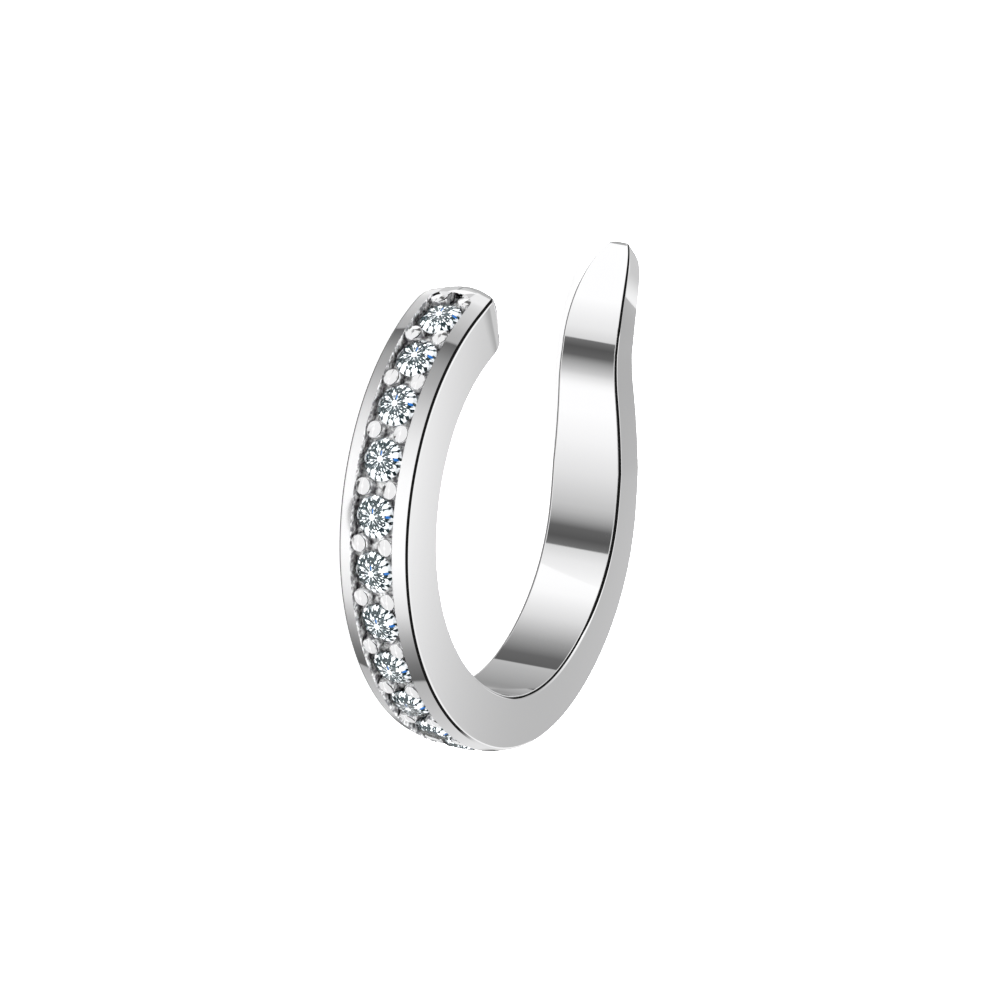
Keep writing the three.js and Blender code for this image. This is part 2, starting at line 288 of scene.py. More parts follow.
# %% [markdown]
# ## How wide and thick the bar is
# A goldsmith files the bar's taper by eye. Here a short table gives the thickness at the ends
# of each stretch, and two functions give the size at any place. The front leg is as thick as
# the nose. The back leg thins steadily to the tongue, which also narrows and ends in a
# half-round tip. Both ends are rounded as a part of an ellipse.

# %% Width and thickness along the bar
THICKNESS_AT = [
    # along in mm, thickness in mm
    (0.0, THICKNESS),
    (arcs[2].start, THICKNESS),
    (arcs[4].start, 1.03),
    (BAND_LENGTH, 0.78),
]
EASING = 1.5
EASING_STEPS = 4
NOSE_THICK_LENGTH = 1.1
NOSE_POWER = 2.3
NOSE_SOFT_LENGTH = 0.75
TONGUE_WIDTH = 1.66
TONGUE_ROUND_LENGTH = 2.8
TONGUE_TAPER_LENGTH = 3.0
TONGUE_THIN_LENGTH = 0.25
ELLIPSE = 2
SOFTEST = 0.01


def straight_thickness(along):
    for (start, first), (end, last) in zip(THICKNESS_AT, THICKNESS_AT[1:]):
        if along <= end:
            return first + (last - first) * max(along - start, 0) / (end - start)
    return THICKNESS_AT[-1][1]


def fullness(from_end, length, power):
    """How full a rounded end is: 0 at its very end, 1 where the rounding stops."""
    left = 1 - min(from_end / length, 1)
    return (1 - left ** power) ** (1 / power)


def thickness_at(along):
    # the mean over a short stretch, so that the taper starts without a kink
    around = [straight_thickness(along + EASING * step / EASING_STEPS)
              for step in range(-EASING_STEPS, EASING_STEPS + 1)]
    tip = fullness(BAND_LENGTH - along, TONGUE_THIN_LENGTH, ELLIPSE)
    return sum(around) / len(around) * fullness(along, NOSE_THICK_LENGTH, ELLIPSE) * tip


def width_at(along):
    from_tip = BAND_LENGTH - along
    taper = min(max((from_tip - TONGUE_ROUND_LENGTH) / TONGUE_TAPER_LENGTH, 0), 1)
    plain = TONGUE_WIDTH + (BAND_WIDTH - TONGUE_WIDTH) * taper
    nose = fullness(along, NOSE_LENGTH, NOSE_POWER)
    return plain * (nose * fullness(from_tip, TONGUE_ROUND_LENGTH, ELLIPSE))


def hardness(along):
    """1 where the section keeps its corners, 0 where it is a full oval."""
    share = min(along / NOSE_SOFT_LENGTH, 1)
    return max(share * share * (3 - 2 * share), SOFTEST)


for stretch_name, here in (("front leg", arcs[1].start), ("back leg", arcs[3].start)):
    print(stretch_name, "starts", round(thickness_at(here), 2), "mm thick and",
          round(width_at(here), 2), "mm wide")

# %% [markdown]
# ## Drawing the section out into a bar
# A drawn or forged bar keeps one section while its size changes. So the section's face is
# extruded along the bar, and at each stop it is scaled to that place's width and thickness. The
# nose is drawn out the other way, and just before its end the face is turned into an oval, so
# it ends like a thumb. The stops lie closer together towards both ends, where the shape turns.

# %% Draw out the bar
STATION_STEP = 0.2
END_STATIONS = 22
LAST_ANGLE = 3.0


def push_to(here, there):
    """Extrudes the selected face to its next stop and scales it to the size it has there."""
    bpy.ops.mesh.extrude_region_move(TRANSFORM_OT_translate={"value": (there - here, 0, 0)})
    middle = (there, 0, 0)
    if hardness(there) < hardness(here):
        squash = (1, 2 / thickness_at(here), 2 / width_at(here))
        bpy.ops.transform.resize(value=squash, center_override=middle)
        bpy.ops.transform.tosphere(value=1 - hardness(there) / hardness(here),
                                   center_override=middle)
    low, high = selected_box()
    bpy.ops.transform.resize(value=(1, thickness_at(there) / (high.y - low.y), 1),
                             center_override=(there, (high.y + low.y) / 2, 0))
    bpy.ops.transform.resize(value=(1, 1, width_at(there) / (high.z - low.z)),
                             center_override=middle)
    low, high = selected_box()
    bpy.ops.transform.translate(value=(0, -(high.y + low.y) / 2, 0))


def round_end(length):
    """Places from the start of a rounded end to its tip, closer together near the tip."""
    angles = [90 + (LAST_ANGLE - 90) * step / END_STATIONS for step in range(END_STATIONS + 1)]
    return [length * (1 - math.cos(math.radians(angle))) for angle in angles]


tongue_start = BAND_LENGTH - TONGUE_ROUND_LENGTH
steps = round((tongue_start - NOSE_LENGTH) / STATION_STEP)
stops = [NOSE_LENGTH + (tongue_start - NOSE_LENGTH) * step / steps for step in range(steps + 1)]
stops += [BAND_LENGTH - inset for inset in round_end(TONGUE_ROUND_LENGTH)[1:]]
nose_stops = round_end(NOSE_LENGTH)

select_only(band)
bpy.ops.object.mode_set(mode="EDIT")
bpy.ops.mesh.select_all(action="SELECT")
for here, there in zip(stops, stops[1:]):
    push_to(here, there)
bpy.ops.mesh.merge(type="COLLAPSE")
pick("faces", lambda f: all(abs(v.co.x - NOSE_LENGTH) < CLOSE for v in f.verts))
for here, there in zip(nose_stops, nose_stops[1:]):
    push_to(here, there)
bpy.ops.mesh.merge(type="COLLAPSE")
bpy.ops.mesh.select_all(action="SELECT")
bpy.ops.mesh.remove_doubles(threshold=CLOSE)
bpy.ops.mesh.normals_make_consistent(inside=False)
bpy.ops.object.mode_set(mode="OBJECT")
print("the bar's faces:", len(band.data.polygons))

# %% [markdown]
# ## Where the stones sit
# The stones are evenly pitched out at their girdles. Bending the bar stretches its outside, so
# on the straight bar they stand a little closer than they will on the finished band.

# %% Places of the stones and beads
STONE_COUNT = 11
STONE_RADIUS = 0.54
STONES_IN_CURL = 3
PITCH_IN_CURL = 1.34
PITCH_IN_LEG = 1.43
FIRST_STONE_AT = 1.61
TABLE_DEPTH = 0.07
GIRDLE_DEPTH = 0.23
GIRDLE_THICKNESS = 0.03
PAVILION_HEIGHT = 0.46


def arc_at(along):
    return next((arc for arc in arcs if along <= arc.end), arcs[-1])


def stretch_at(along, depth):
    """How much the bend stretches the bar at a depth below its crown."""
    return 1 + (crown - depth) * arc_at(along).curvature


stone_places = [FIRST_STONE_AT]
while len(stone_places) < STONE_COUNT:
    here = stone_places[-1]
    pitch = PITCH_IN_CURL if len(stone_places) < STONES_IN_CURL else PITCH_IN_LEG
    stone_places.append(here + pitch / stretch_at(here, GIRDLE_DEPTH))
bead_places = [(a + b) / 2 for a, b in zip(stone_places, stone_places[1:])]
end_space = (stone_places[1] - stone_places[0]) / 2
bead_places = [stone_places[0] - end_space] + bead_places + [stone_places[-1] + end_space]
print("stones at", [round(place, 2) for place in stone_places])

# %% [markdown]
# ## Small helpers for cutting and joining
# Milling, drilling and soldering all come down to one solid taken from another or added to it.
# The tool's solid is made first, at its size and place, and goes away once it has done its work.

# %% Helpers for solids
def add_part(name, add, **settings):
    add(**settings)
    part = bpy.context.object
    part.name = name
    bpy.ops.object.transform_apply(location=False, rotation=True, scale=True)
    return part


def join(parts, name):
    select_only(*parts)
    bpy.ops.object.join()
    whole = bpy.context.object
    whole.name = name
    bpy.ops.object.transform_apply(location=True, rotation=True, scale=True)
    return whole


def combine(piece, tool, operation):
    apply_modifier(piece, "BOOLEAN", object=tool, operation=operation, solver="EXACT")
    select_only(tool)
    bpy.ops.object.delete()


# %% [markdown]
# ## Milling the channel
# A cutter mills the channel in one pass, so it is a slot with round corners. It is sliced
# across at every stop of the bar, so that its floor can bend with the bar.

# %% The channel
CHANNEL_DEPTH = 0.4
CHANNEL_WIDTH = 1.24
CHANNEL_START = 0.91
CHANNEL_END = 15.31
CHANNEL_CORNER = 0.3
CORNER_STEPS = 8

slot_middle = (CHANNEL_START + CHANNEL_END) / 2
channel = add_part("channel_slot", bpy.ops.mesh.primitive_cube_add, size=1,
                   location=(slot_middle, -crown, 0),
                   scale=(CHANNEL_END - CHANNEL_START, 2 * CHANNEL_DEPTH, CHANNEL_WIDTH))
bpy.ops.object.transform_apply(location=True)
bpy.ops.object.mode_set(mode="EDIT")
pick("edges", lambda e: abs(e.verts[0].co.y - e.verts[1].co.y) > CHANNEL_DEPTH)
bpy.ops.mesh.bevel(affect="EDGES", offset=CHANNEL_CORNER, segments=CORNER_STEPS)
for stop in stops:
    if CHANNEL_START + CHANNEL_CORNER < stop < CHANNEL_END - CHANNEL_CORNER:
        bpy.ops.mesh.select_all(action="SELECT")
        bpy.ops.mesh.bisect(plane_co=(stop, 0, 0), plane_no=(1, 0, 0))
bpy.ops.object.mode_set(mode="OBJECT")
combine(band, channel, "DIFFERENCE")
print("faces with the channel milled:", len(band.data.polygons))

# %% [markdown]
# ## Drilling the seats
# Under each stone a cone is drilled for its pointed back. The cones are narrowed along the bar
# by as much as the bend will stretch them, so that they end up round.

# %% The seats
SEAT_CLEARANCE = 0.04
SEAT_SIDES = 32

seats = []
for place in stone_places:
    middle_depth = GIRDLE_DEPTH + GIRDLE_THICKNESS + SEAT_CLEARANCE + PAVILION_HEIGHT / 2
    narrow = 1 / stretch_at(place, middle_depth)
    seat = add_part("seat", bpy.ops.mesh.primitive_cone_add, vertices=SEAT_SIDES,
                    radius1=STONE_RADIUS, radius2=0, depth=PAVILION_HEIGHT,
                    location=(place, middle_depth - crown, 0), rotation=(-math.pi / 2, 0, 0),
                    scale=(narrow, 1, 1))
    seats.append(seat)
combine(band, join(seats, "seats"), "DIFFERENCE")
print("faces with the seats drilled:", len(band.data.polygons))

# %% [markdown]
# ## Raising the beads
# A setter raises beads from the channel's floor with a graver and rounds them with a cupped
# tool. Each is modelled as a peg whose rim is rounded and whose top is inset ring by ring into
# a low dome. A pair stands between each two stones and at each end of the row.

# %% The bead prongs
BEAD_RADIUS = 0.225
BEAD_OFFSET = 0.39
BEAD_TOP_DEPTH = 0.09
BEAD_LENGTH = 0.5
BEAD_RIM = 0.03
BEAD_RIM_STEPS = 4
BEAD_DOME_RADIUS = 0.7
BEAD_RINGS = 4
BEAD_SIDES = 32

bead = add_part("bead", bpy.ops.mesh.primitive_cylinder_add, vertices=BEAD_SIDES,
                radius=BEAD_RADIUS, depth=BEAD_LENGTH, rotation=(math.pi / 2, 0, 0))
bpy.ops.object.mode_set(mode="EDIT")
pick("edges", lambda e: all(v.co.y < -BEAD_LENGTH / 2 + CLOSE for v in e.verts))
bpy.ops.mesh.bevel(affect="EDGES", offset=BEAD_RIM, segments=BEAD_RIM_STEPS)
pick("faces", lambda f: all(v.co.y < -BEAD_LENGTH / 2 + CLOSE for v in f.verts))
ring = (BEAD_RADIUS - BEAD_RIM) / (BEAD_RINGS + 1)
for step in range(BEAD_RINGS, 0, -1):
    rise = ((step + 1) ** 2 - step ** 2) * ring ** 2 / (2 * BEAD_DOME_RADIUS)
    bpy.ops.mesh.inset(thickness=ring, depth=0)
    bpy.ops.transform.translate(value=(0, -rise, 0))
bead_top = selected_box()[0].y
bpy.ops.object.mode_set(mode="OBJECT")
beads = []
for place in bead_places:
    for side in (-1, 1):
        select_only(bead)
        bpy.ops.object.duplicate()
        one = bpy.context.object
        one.scale.x = 1 / stretch_at(place, BEAD_TOP_DEPTH)
        one.location = (place, BEAD_TOP_DEPTH - crown - bead_top, side * BEAD_OFFSET)
        beads.append(one)
select_only(bead)
bpy.ops.object.delete()
combine(band, join(beads, "beads"), "UNION")
print("faces with the beads raised:", len(band.data.polygons))

# %% [markdown]
# ## Marking the worked metal
# The channel, the seats and the beads' sides can't be reached by a polishing wheel. Their faces
# go in a second material slot, picked while the bar is still straight.

# %% Mark the faces that stay unpolished
WORKED_BELOW = 0.14
WORKED_FLOOR = 0.9

select_only(band)
for slot in range(2):
    bpy.ops.object.material_slot_add()
bpy.ops.object.mode_set(mode="EDIT")


def is_worked(face):
    middle = face.calc_center_median()
    inside = abs(middle.z) < CHANNEL_WIDTH / 2 + CLOSE and CHANNEL_START < middle.x < CHANNEL_END
    return inside and WORKED_BELOW < middle.y + crown < WORKED_FLOOR


worked_count = pick("faces", is_worked)
band.active_material_index = 1
bpy.ops.object.material_slot_assign()
bpy.ops.object.mode_set(mode="OBJECT")
print("faces that stay unpolished:", worked_count)

# %% [markdown]
# ## Bending the bar
# The bar is bent along the centre line, as it would be round a mandrel. Afterwards its rounded
# edges are shaded smooth and its sharp ones stay sharp. The weighted normals keep the flat
# sides looking flat right up to their rounded edges.

# %% Bend the band
SMOOTH_BELOW = math.radians(32)

apply_modifier(band, "CURVE", object=line, deform_axis="POS_X")
select_only(line)
bpy.ops.object.delete()
cad_low, cad_high = (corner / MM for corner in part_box("cuff_band"))
select_only(band)
bpy.ops.object.mode_set(mode="EDIT")
bpy.ops.mesh.select_all(action="SELECT")
low, high = selected_box()
shift = (cad_low + cad_high - low - high) / 2
bpy.ops.transform.translate(value=shift)
bpy.ops.object.mode_set(mode="OBJECT")
bpy.ops.object.shade_smooth_by_angle(angle=SMOOTH_BELOW)
apply_modifier(band, "WEIGHTED_NORMAL", keep_sharp=True, weight=100)
print("bent band in mm:", [round(c, 2) for c in (high - low)], "moved by",
      [round(c, 3) for c in shift])

# %% [markdown]
# ## Cutting a brilliant
# One stone is cut as a lapidary does, plane by plane, from a blank turned round. It gets a
# table, stars, kites and upper halves above the girdle, mains and lower halves below it. The
# back angles throw most of the light from above out again through the table.

# %% Cut one stone
TABLE_SHARE = 0.58
FACETS_ROUND = 8
GIRDLE_SIDES = 64
STAR_ANGLE = 19.5
UPPER_HALF_ANGLE = 41.5
LOWER_HALF_ANGLE = 42.0

crown_height = GIRDLE_DEPTH - TABLE_DEPTH
table_radius = TABLE_SHARE * STONE_RADIUS
main_angle = math.degrees(math.atan2(crown_height, STONE_RADIUS - table_radius))
pavilion_angle = math.degrees(math.atan2(PAVILION_HEIGHT, STONE_RADIUS))
half_step = 180 / FACETS_ROUND
table_edge = table_radius * math.cos(math.radians(half_step))
girdle_bottom = -GIRDLE_THICKNESS


def cut_round(count, first_turn, tilt, through_radius, through_height):
    """Cuts evenly turned facets, all tilted alike and passing through one circle."""
    for step in range(count):
        turn = math.radians(first_turn + 360 * step / count)
        lean = math.radians(tilt)
        outwards = Vector((math.cos(turn), math.sin(turn), 0))
        normal = outwards * math.sin(lean) + Vector((0, 0, math.cos(lean)))
        bpy.ops.mesh.select_all(action="SELECT")
        bpy.ops.mesh.bisect(plane_co=outwards * through_radius + Vector((0, 0, through_height)),
                            plane_no=normal, use_fill=True, clear_outer=True)


blank_height = crown_height + GIRDLE_THICKNESS + PAVILION_HEIGHT
blank = add_part("brilliant", bpy.ops.mesh.primitive_cylinder_add, vertices=GIRDLE_SIDES,
                 radius=STONE_RADIUS, depth=blank_height,
                 location=(0, 0, crown_height - blank_height / 2))
bpy.ops.object.transform_apply(location=True)
bpy.ops.object.mode_set(mode="EDIT")
cut_round(FACETS_ROUND, 0, 180 - pavilion_angle, STONE_RADIUS, girdle_bottom)
cut_round(2 * FACETS_ROUND, half_step / 2, 180 - LOWER_HALF_ANGLE, STONE_RADIUS, girdle_bottom)
cut_round(FACETS_ROUND, 0, main_angle, STONE_RADIUS, 0)
cut_round(2 * FACETS_ROUND, half_step / 2, UPPER_HALF_ANGLE, STONE_RADIUS, 0)
cut_round(FACETS_ROUND, half_step, STAR_ANGLE, table_edge, crown_height)
bpy.ops.mesh.select_all(action="SELECT")
bpy.ops.mesh.remove_doubles(threshold=CLOSE)
bpy.ops.mesh.normals_make_consistent(inside=False)
bpy.ops.object.mode_set(mode="OBJECT")
bpy.ops.object.shade_flat()
pattern = blank.data.uv_layers.new(name="face_on")
for loop in blank.data.loops:
    place = blank.data.vertices[loop.vertex_index].co
    pattern.data[loop.index].uv = (place.x / STONE_RADIUS, place.y / STONE_RADIUS)
print("facets and girdle flats of a stone:", len(blank.data.polygons))

# %% [markdown]
# ## Setting the stones
# A setter presses each stone into its seat, square to the band, before pushing the beads over
# its edge. Here the cut stone is copied, and each copy is turned so that its table faces
# straight out from the bend at its own place.

# %% Set the stones
stones = []
for number, place in enumerate(stone_places, start=1):
    select_only(blank)
    bpy.ops.object.duplicate()
    stone = bpy.context.object
    stone.name = f"brilliant_{number:02d}"
    seat_point, heading = arc_at(place).at(place)
    ahead = Vector((math.cos(heading), math.sin(heading), 0))
    outward = Vector((math.sin(heading), -math.cos(heading), 0))
    turned = Matrix((ahead, outward.cross(ahead), outward)).transposed().to_4x4()
    seat_point = seat_point + shift + outward * (crown - GIRDLE_DEPTH)
    stone.matrix_world = Matrix.Translation(seat_point) @ turned
    stones.append(stone)
select_only(blank)
bpy.ops.object.delete()
print("stones set:", len(stones))

# %% [markdown]
# ## To real size
# Up to here one unit was one millimetre. Now everything shrinks to metres, and every piece
# ends at the origin, unturned and unscaled.

# %% Scale and fasten the pieces
select_only(band, *stones)
bpy.ops.transform.resize(value=(MM, MM, MM), center_override=(0, 0, 0))
bpy.ops.object.transform_apply(location=True, rotation=True, scale=True)
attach(band, "root")
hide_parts("cuff_band")
for number, stone in enumerate(stones, start=1):
    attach(stone, "root")
    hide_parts(f"stone_{number:02d}")
    stone_low, stone_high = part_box(f"stone_{number:02d}")
    middle = sum((v.co for v in stone.data.vertices), Vector()) / len(stone.data.vertices)
    print(stone.name, "stands off its CAD place by",
          round(((stone_low + stone_high) / 2 - middle).length / MM, 3), "mm")

# %% [markdown]
# ## Mixing finishes from small parts
# A finish is a little network of nodes. Each helper here adds one kind of node to the network
# that is being built, wires it up and hands back its output, so that a finish reads like a sum.

# %% Helpers for finishes
NOISE_LOW, NOISE_HIGH = 0.3, 0.7


def new_material(name):
    material = bpy.data.materials.new(name)
    material.use_nodes = True
    nodes, links = material.node_tree.nodes, material.node_tree.links
    return material, nodes, links, nodes["Principled BSDF"]


def add_noise(scale, detail=3.0):
    """Noise on the piece's own coordinates. The scale counts its lumps in a metre."""
    where = nodes.new("ShaderNodeTexCoord")
    noise = nodes.new("ShaderNodeTexNoise")
    noise.inputs["Scale"].default_value = scale
    noise.inputs["Detail"].default_value = detail
    links.new(where.outputs["Object"], noise.inputs["Vector"])
    return noise.outputs["Fac"]


def remap(value, low, high):
    """Spreads a noise's usual values over a range of its own."""
    span = nodes.new("ShaderNodeMapRange")
    span.inputs["From Min"].default_value = NOISE_LOW
    span.inputs["From Max"].default_value = NOISE_HIGH
    span.inputs["To Min"].default_value = low
    span.inputs["To Max"].default_value = high
    links.new(value, span.inputs["Value"])
    return span.outputs["Result"]


# %% [markdown]
# ## Sums with nodes
# The next helpers take plain numbers and other nodes' outputs alike. One does a sum, one mixes,
# one fades a value in or out between two limits, and one looks a grey up in a table of tones.

# %% Helpers for sums
def plug(socket, value):
    """Sets an input to a plain value, or wires it to another node's output."""
    if isinstance(value, (int, float, tuple, Vector)):
        socket.default_value = value
    else:
        links.new(value, socket)


def maths(operation, *inputs, clamp=False):
    node = nodes.new("ShaderNodeMath")
    node.operation = operation
    node.use_clamp = clamp
    for socket, value in zip(node.inputs, inputs):
        plug(socket, value)
    return node.outputs[0]


def vector_maths(operation, *inputs):
    node = nodes.new("ShaderNodeVectorMath")
    node.operation = operation
    for socket, value in zip(node.inputs, inputs):
        plug(socket, value)
    return node.outputs["Value" if operation == "LENGTH" else "Vector"]


def between(value, low, high):
    """Rises smoothly from 0 to 1 between two values, or falls where low is above high."""
    node = nodes.new("ShaderNodeMapRange")
    node.interpolation_type = "SMOOTHSTEP"
    if low < high:
        ends = (low, high, 0, 1)
    else:
        ends = (high, low, 1, 0)
    for name, end in zip(("From Min", "From Max", "To Min", "To Max"), ends):
        node.inputs[name].default_value = end
    plug(node.inputs["Value"], value)
    return node.outputs["Result"]


def mix(share, first, second):
    node = nodes.new("ShaderNodeMix")
    for socket, value in zip(node.inputs[:1] + node.inputs[2:4], (share, first, second)):
        plug(socket, value)
    return node.outputs[0]


def gradient(value, low, high, tones, kind="LINEAR"):
    """A ramp of greys over a range of values."""
    ramp = nodes.new("ShaderNodeValToRGB")
    share = maths("DIVIDE", maths("SUBTRACT", value, low), high - low, clamp=True)
    links.new(share, ramp.inputs["Fac"])
    ramp.color_ramp.interpolation = kind
    elements = ramp.color_ramp.elements
    while len(elements) < len(tones):
        elements.new(0.5)
    for element, (place, tone) in zip(elements, tones):
        element.position = (place - low) / (high - low)
        element.color = (tone, tone, tone, 1)
    return ramp.outputs["Color"]


# %% [markdown]
# ## Silver
# The silver is polished to a mirror. Very fine buffing marks make its gloss vary a little, and
# a faint unevenness keeps its reflections from looking computed. The worked metal between the
# stones stays frosty, because a graver cut it: rough and grained. Its colour follows the
# grain's own lumps, dark in their low spots and white on their high spots, which is painted
# shade and painted glints.

# %% Silver
SILVER_COLOUR = (0.93, 0.93, 0.935, 1)
BUFFING_SCALE = 900
GLOSS = (0.02, 0.05)
WAVES_SCALE, WAVES_DETAIL = 350, 1.0
WAVES_STRENGTH, WAVES_DEPTH = 0.02, 0.05 * MM
WORKED_METALLIC, WORKED_ROUGHNESS = 0.25, 0.3
GRAIN_SCALE, GRAIN_DETAIL = 9000, 2.0
# the grain's colour: painted shade in its low spots, painted glints on its high spots
GRAIN_SHADE_AND_GLINT_TONES = [(0.4, (0.2, 0.2, 0.21, 1)), (0.66, (1.0, 1.0, 1.0, 1))]
GRAIN_STRENGTH, GRAIN_DEPTH = 0.6, 0.03 * MM


def add_bump(height, strength, distance):
    bump = nodes.new("ShaderNodeBump")
    bump.inputs["Strength"].default_value = strength
    bump.inputs["Distance"].default_value = distance
    links.new(height, bump.inputs["Height"])
    links.new(bump.outputs["Normal"], shader.inputs["Normal"])


silver, nodes, links, shader = new_material("polished_silver")
shader.inputs["Base Color"].default_value = SILVER_COLOUR
shader.inputs["Metallic"].default_value = 1.0
buffing = add_noise(BUFFING_SCALE)
links.new(remap(buffing, *GLOSS), shader.inputs["Roughness"])
add_bump(add_noise(WAVES_SCALE, WAVES_DETAIL), WAVES_STRENGTH, WAVES_DEPTH)

worked, nodes, links, shader = new_material("worked_silver")
shader.inputs["Metallic"].default_value = WORKED_METALLIC
shader.inputs["Roughness"].default_value = WORKED_ROUGHNESS
grain = add_noise(GRAIN_SCALE, GRAIN_DETAIL)
tone = nodes.new("ShaderNodeValToRGB")
for element, (place, colour) in zip(tone.color_ramp.elements, GRAIN_SHADE_AND_GLINT_TONES):
    element.position = place
    element.color = colour
links.new(grain, tone.inputs["Fac"])
# the same lumps give the bumps and the painted shade and glints
links.new(tone.outputs["Color"], shader.inputs["Base Color"])
add_bump(grain, GRAIN_STRENGTH, GRAIN_DEPTH)

band.material_slots[0].material = silver
band.material_slots[1].material = worked
print("finishes of the band:", [slot.material.name for slot in band.material_slots])

# %% [markdown]
# ## How a brilliant looks from the front
# Seen from the front, a brilliant is a wheel of reflections: eight dark arrows leave a bright hub,
# and between them small mirrors show light and dark by turns. Each stone carries its own plan view
# as a UV map, and that wheel of reflections, highlights and shade is painted on it as the stone's
# base colour. Part of the light still goes through the clear stone, which is cubic zirconia: it
# bends light more than glass and a little less than diamond.

# %% Helpers for the wheel
def band_pass(value, low, high, soft):
    """1 between two values and 0 outside them, with soft ends."""
    rising = between(value, low - soft, low + soft)
    return maths("MULTIPLY", rising, between(value, high + soft, high - soft))


def tint(share, first, second):
    """Mixes two colours."""
    node = nodes.new("ShaderNodeMix")
    node.data_type = "RGBA"
    for socket, value in zip((node.inputs[0], node.inputs[6], node.inputs[7]),
                             (share, first, second)):
        plug(socket, value)
    return node.outputs[2]


def spot(at_u, at_v, half_u, half_v):
    """A soft oval spot on the wheel."""
    across = maths("DIVIDE", maths("SUBTRACT", u, at_u), half_u)
    along = maths("DIVIDE", maths("SUBTRACT", v, at_v), half_v)
    squares = maths("ADD", maths("MULTIPLY", across, across), maths("MULTIPLY", along, along))
    return between(squares, 1.0, SPOT_CORE)


# %% [markdown]
# ## The small mirrors
# On the wheel, 0 is the middle of the table and 1 is the girdle. The angle is folded eight
# times, so what is drawn once is seen eight times. A cell pattern on the folded angle and the
# radius gives the small mirrors as painted reflections, light and dark by chance, as the facets
# of a real stone are. The middle of the table gets a painted highlight.

# %% The small mirrors
# painted reflections of the small mirrors, from dark to light
PAINTED_FACET_TONES = [(0.0, 0.01), (0.4, 0.25), (0.46, 0.7), (0.54, 1.0)]
MIRRORS_ROUND, MIRRORS_OUT, MIRRORS_SCALE, MIRRORS_TURN = 6.5, 6.0, 1.2, 0.6
# the middle of the table is a painted highlight
TABLE_MIDDLE, TABLE_HIGHLIGHT_TONE = (0.34, 0.3), 0.9

zirconia, nodes, links, shader = new_material("clear_zirconia")
face_on = nodes.new("ShaderNodeUVMap")
face_on.uv_map = "face_on"
split = nodes.new("ShaderNodeSeparateXYZ")
links.new(face_on.outputs[0], split.inputs[0])
u, v = split.outputs[:2]
radius = maths("SQRT", maths("ADD", maths("MULTIPLY", u, u), maths("MULTIPLY", v, v)))
angle = maths("ARCTAN2", v, u)
folded = maths("PINGPONG", maths("ADD", angle, math.pi), math.pi / FACETS_ROUND)
mirrors = nodes.new("ShaderNodeCombineXYZ")
links.new(maths("MULTIPLY", folded, MIRRORS_ROUND), mirrors.inputs[0])
links.new(maths("MULTIPLY", radius, MIRRORS_OUT), mirrors.inputs[1])
links.new(maths("SINE", maths("ADD", angle, MIRRORS_TURN)), mirrors.inputs[2])
cells = nodes.new("ShaderNodeTexVoronoi")
cells.inputs["Scale"].default_value = MIRRORS_SCALE
links.new(mirrors.outputs[0], cells.inputs["Vector"])
shade = nodes.new("ShaderNodeSeparateXYZ")
links.new(cells.outputs["Color"], shade.inputs[0])
tone = gradient(shade.outputs[0], 0, 1, PAINTED_FACET_TONES, "CONSTANT")
tone = mix(between(radius, *TABLE_MIDDLE), tone, TABLE_HIGHLIGHT_TONE)
print("nodes that draw the small mirrors:", len(nodes))

# %% [markdown]
# ## The painted arrows, hub and fire
# An arrow has a straight shaft and a head that forks as it nears the girdle. Short dark strokes
# fill the gaps between two arrows near the table. Everything is drawn by its distance from the
# arrow's middle line. The arrows and strokes are painted dark reflections, and the hub is a
# painted highlight. Two blue spots are the stone's fire, painted in.

# %% The arrows, the hub and the fire
ARROW_HALF_WIDTH = 0.056
SHAFT_EDGE = (ARROW_HALF_WIDTH * 1.4, ARROW_HALF_WIDTH * 0.8)
SHAFT_REACH = (0.15, 0.6)
HEAD_START, HEAD_SPREAD, HEAD_EDGE, HEAD_REACH = 0.5, 0.42, (0.035, 0.02), (0.52, 0.9)
GAP_EDGE, GAP_REACH = (0.04, 0.02), (0.26, 0.44)
REACH_SOFT = 0.02
DARK_TONE = 0.01
# the hub is a painted highlight, pure white
HUB_RADIUS = 0.11
HUB_EDGE = (HUB_RADIUS * 1.2, HUB_RADIUS * 0.8)
SPOT_CORE = 0.7
# colours of the painted dark reflections and of the painted light
REFLECTED_DARK, REFLECTED_LIGHT = (0.015, 0.03, 0.035, 1), (0.93, 0.97, 1.0, 1)
# the stone's fire, painted as blue spots of light
PAINTED_FIRE_SPOTS = [
    # place and half size on the wheel, colour
    ((-0.1, 0.78, 0.07, 0.12), (0.03, 0.16, 0.5, 1)),
    ((-0.3, 0.02, 0.13, 0.04), (0.04, 0.14, 0.38, 1)),
]

off_arrow = maths("MULTIPLY", radius, folded)
off_gap = maths("MULTIPLY", radius, maths("SUBTRACT", math.pi / FACETS_ROUND, folded))
shaft = maths("MULTIPLY", between(off_arrow, *SHAFT_EDGE),
              band_pass(radius, *SHAFT_REACH, REACH_SOFT))
spread = maths("MULTIPLY", maths("SUBTRACT", radius, HEAD_START), HEAD_SPREAD)
off_head = maths("ABSOLUTE", maths("SUBTRACT", off_arrow, spread))
head = maths("MULTIPLY", between(off_head, *HEAD_EDGE),
             band_pass(radius, *HEAD_REACH, REACH_SOFT))
gap = maths("MULTIPLY", between(off_gap, *GAP_EDGE), band_pass(radius, *GAP_REACH, REACH_SOFT))
dark = maths("MAXIMUM", maths("MAXIMUM", shaft, head), gap)
tone = mix(dark, tone, DARK_TONE)
tone = mix(between(radius, *HUB_EDGE), tone, 1.0)
colour = tint(tone, REFLECTED_DARK, REFLECTED_LIGHT)
for place, flash in PAINTED_FIRE_SPOTS:
    colour = tint(spot(*place), colour, flash)
# the painted reflections, highlights and fire become the stone's base colour
links.new(colour, shader.inputs["Base Color"])
print("nodes that draw the whole wheel:", len(nodes))

